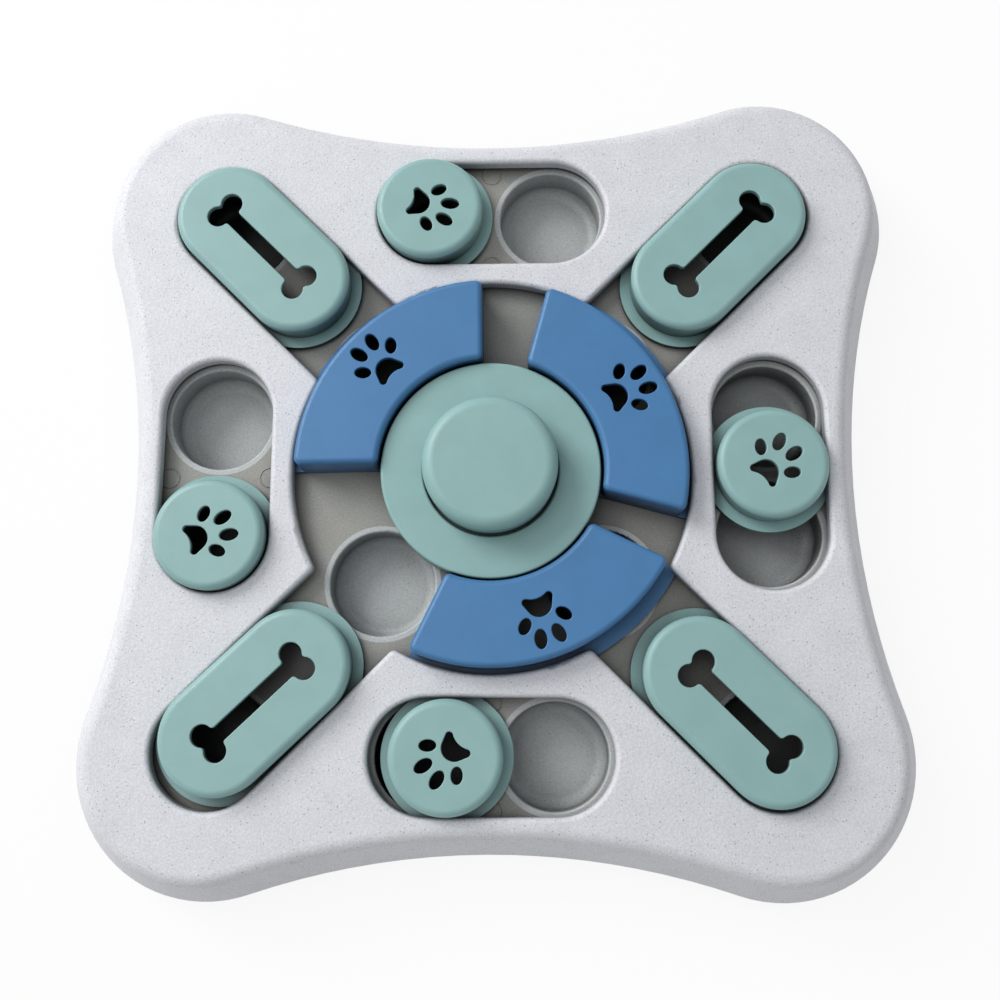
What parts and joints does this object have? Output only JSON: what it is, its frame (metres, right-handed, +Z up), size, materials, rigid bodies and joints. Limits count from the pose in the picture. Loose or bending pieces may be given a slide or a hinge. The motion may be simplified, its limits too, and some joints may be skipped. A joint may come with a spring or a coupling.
{
  "type": "dog puzzle feeder toy",
  "caption": "Four-lobed dog puzzle feeder: knobs and bones slide in slots and fans turn round a squeaker hub to uncover treat cups",
  "frame": {"origin": "on the table under the middle of the toy", "axes": "+Z up, +Y toward the far side in the picture, +X to its right"},
  "size_m": [0.2508, 0.2508, 0.0403],
  "materials": {
    "speckled_cover": "satin, finely pebbled, with dark specks",
    "grey_tray": "satin",
    "mint_slider": "satin",
    "mint_hub": "satin",
    "blue_fan": "satin",
    "squeaker_rubber": "matt",
    "foot_rubber": "matt",
    "screw_steel": "satin"
  },
  "bodies": {
    "case": {"top_cover": "speckled_cover", "cup_tray": "grey_tray", "treat_cups": "grey_tray", "hub_cap": "mint_hub", "squeaker_bulb": "squeaker_rubber", "foot_north_east": "foot_rubber", "foot_north_west": "foot_rubber", "foot_south_west": "foot_rubber", "foot_south_east": "foot_rubber", "case_screws": "screw_steel", "hub_screws": "screw_steel"},
    "squeak_button": {"squeak_button": "mint_hub"},
    "knob_north": {"knob_north": "mint_slider"},
    "knob_west": {"knob_west": "mint_slider"},
    "knob_south": {"knob_south": "mint_slider"},
    "knob_east": {"knob_east": "mint_slider"},
    "bone_north_west": {"bone_north_west": "mint_slider"},
    "bone_north_east": {"bone_north_east": "mint_slider"},
    "bone_south_west": {"bone_south_west": "mint_slider"},
    "bone_south_east": {"bone_south_east": "mint_slider"},
    "fan_north_west": {"fan_north_west": "blue_fan"},
    "fan_north_east": {"fan_north_east": "blue_fan"},
    "fan_south": {"fan_south": "blue_fan"}
  },
  "joints": [
    {"name": "knob_north_slide", "type": "slide", "parent": "case", "child": "knob_north", "axis": [1, 0, 0], "range_m": [0, 0.0382]},
    {"name": "knob_west_slide", "type": "slide", "parent": "case", "child": "knob_west", "axis": [0, 1, 0], "range_m": [0, 0.0382]},
    {"name": "knob_south_slide", "type": "slide", "parent": "case", "child": "knob_south", "axis": [1, 0, 0], "range_m": [-0.0064, 0.0322]},
    {"name": "knob_east_slide", "type": "slide", "parent": "case", "child": "knob_east", "axis": [0, 1, 0], "range_m": [-0.0206, 0.018]},
    {"name": "bone_north_west_slide", "type": "slide", "parent": "case", "child": "bone_north_west", "axis": [-0.7071, 0.7071, 0], "range_m": [-0.002, 0.0013]},
    {"name": "bone_north_east_slide", "type": "slide", "parent": "case", "child": "bone_north_east", "axis": [0.7071, 0.7071, 0], "range_m": [-0.0014, 0.0024]},
    {"name": "bone_south_west_slide", "type": "slide", "parent": "case", "child": "bone_south_west", "axis": [-0.7071, -0.7071, 0], "range_m": [-0.024, 0.0045]},
    {"name": "bone_south_east_slide", "type": "slide", "parent": "case", "child": "bone_south_east", "axis": [0.7071, -0.7071, 0], "range_m": [-0.002, 0.0015]},
    {"name": "fan_north_west_turn", "type": "hinge", "parent": "case", "child": "fan_north_west", "pos_m": [0, 0, 0.0205], "axis": [0, 0, 1], "range_deg": [-7.7, 24]},
    {"name": "fan_north_east_turn", "type": "hinge", "parent": "case", "child": "fan_north_east", "pos_m": [0, 0, 0.0205], "axis": [0, 0, 1], "range_deg": [-5.2, 7.7]},
    {"name": "fan_south_turn", "type": "hinge", "parent": "case", "child": "fan_south", "pos_m": [0, 0, 0.0205], "axis": [0, 0, 1], "range_deg": [0, 5.2]},
    {"name": "squeak_button_press", "type": "slide", "parent": "case", "child": "squeak_button", "axis": [0, 0, -1], "range_m": [0, 0.003], "stiffness_N_per_m": 500, "springref_m": -0.001}
  ]
}
